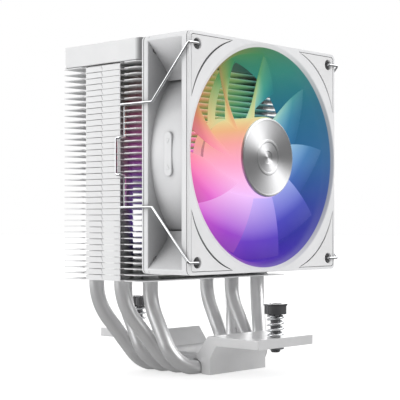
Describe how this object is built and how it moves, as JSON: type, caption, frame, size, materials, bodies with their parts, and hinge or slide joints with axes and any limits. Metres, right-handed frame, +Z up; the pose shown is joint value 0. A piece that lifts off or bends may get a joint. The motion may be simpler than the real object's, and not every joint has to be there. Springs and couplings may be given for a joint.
{
  "type": "cpu tower cooler",
  "caption": "White processor tower cooler: folded fins on bent heat pipes, a flat contact base with sprung screws, and a lit fan held by wire clips.",
  "frame": {"origin": "centre of the base's contact face, which is also the bottom centre of the whole cooler", "axes": "+Z up the tower, away from the processor; +Y from the fan to the rear of the fins; +X to the right seen from the fan"},
  "size_m": [0.095, 0.0888, 0.1331],
  "materials": {
    "white_coated_aluminium": "satin white coat",
    "white_plastic": "matt moulded",
    "white_pad": "matt",
    "frosted_blade": "frosted translucent, lit from within",
    "spun_metal": "spun",
    "chrome_wire": "bright",
    "black_chrome": "bright",
    "steel": "plain",
    "magnet": "matt bonded ferrite",
    "bronze": "sintered",
    "copper": "enamelled wire",
    "circuit_board": "white solder mask",
    "nylon": "plain"
  },
  "bodies": {
    "cooler": {"fin_pack_01": "white_coated_aluminium", "fin_pack_02": "white_coated_aluminium", "fin_pack_03": "white_coated_aluminium", "fin_pack_04": "white_coated_aluminium", "fin_pack_05": "white_coated_aluminium", "fin_pack_06": "white_coated_aluminium", "fin_pack_07": "white_coated_aluminium", "fin_pack_08": "white_coated_aluminium", "fin_pack_09": "white_coated_aluminium", "fin_pack_10": "white_coated_aluminium", "fin_pack_11": "white_coated_aluminium", "fin_pack_12": "white_coated_aluminium", "top_fin": "white_coated_aluminium", "top_cover": "white_coated_aluminium", "heat_pipe_1": "white_coated_aluminium", "heat_pipe_2": "white_coated_aluminium", "heat_pipe_3": "white_coated_aluminium", "heat_pipe_4": "white_coated_aluminium", "base_plate": "white_coated_aluminium", "fan_frame": "white_plastic", "front_pad_lower_left": "white_pad", "front_pad_lower_right": "white_pad", "front_pad_upper_left": "white_pad", "front_pad_upper_right": "white_pad", "rear_pad_lower_left": "white_pad", "rear_pad_lower_right": "white_pad", "rear_pad_upper_left": "white_pad", "rear_pad_upper_right": "white_pad", "bearing_sleeve": "bronze", "shaft_washer": "nylon", "stator_core": "steel", "stator_coil_1": "copper", "stator_coil_2": "copper", "stator_coil_3": "copper", "stator_coil_4": "copper", "circuit_board": "circuit_board", "screw_spring_front": "chrome_wire", "screw_spring_rear": "chrome_wire"},
    "rotor": {"impeller": "frosted_blade", "hub_cap": "spun_metal", "rotor_yoke": "steel", "rotor_magnet": "magnet", "motor_shaft": "steel"},
    "front_screw_travel": {"retaining_ring_front": "steel"},
    "front_screw": {"mounting_screw_front": "black_chrome"},
    "rear_screw_travel": {"retaining_ring_rear": "steel"},
    "rear_screw": {"mounting_screw_rear": "black_chrome"},
    "left_clip": {"fan_clip_left": "chrome_wire"},
    "right_clip": {"fan_clip_right": "chrome_wire"}
  },
  "joints": [
    {"name": "rotor_spin", "type": "hinge", "parent": "cooler", "child": "rotor", "pos_m": [0, -0.0222, 0.0871], "axis": [0, -1, 0], "continuous": true},
    {"name": "front_screw_press", "type": "slide", "parent": "cooler", "child": "front_screw_travel", "axis": [0, 0, -1], "range_m": [0, 0.005], "stiffness_N_per_m": 3000, "deforming": ["screw_spring_front"]},
    {"name": "front_screw_turn", "type": "hinge", "parent": "front_screw_travel", "child": "front_screw", "pos_m": [0, -0.039, 0.02], "axis": [0, 0, 1], "continuous": true},
    {"name": "rear_screw_press", "type": "slide", "parent": "cooler", "child": "rear_screw_travel", "axis": [0, 0, -1], "range_m": [0, 0.005], "stiffness_N_per_m": 3000, "deforming": ["screw_spring_rear"]},
    {"name": "rear_screw_turn", "type": "hinge", "parent": "rear_screw_travel", "child": "rear_screw", "pos_m": [0, 0.039, 0.02], "axis": [0, 0, 1], "continuous": true},
    {"name": "left_clip_swing", "type": "hinge", "parent": "cooler", "child": "left_clip", "pos_m": [-0.04125, -0.03545, 0.0871], "axis": [0, 0, 1], "range_deg": [0, 35]},
    {"name": "right_clip_swing", "type": "hinge", "parent": "cooler", "child": "right_clip", "pos_m": [0.04125, -0.03545, 0.0871], "axis": [0, 0, -1], "range_deg": [0, 35]}
  ]
}
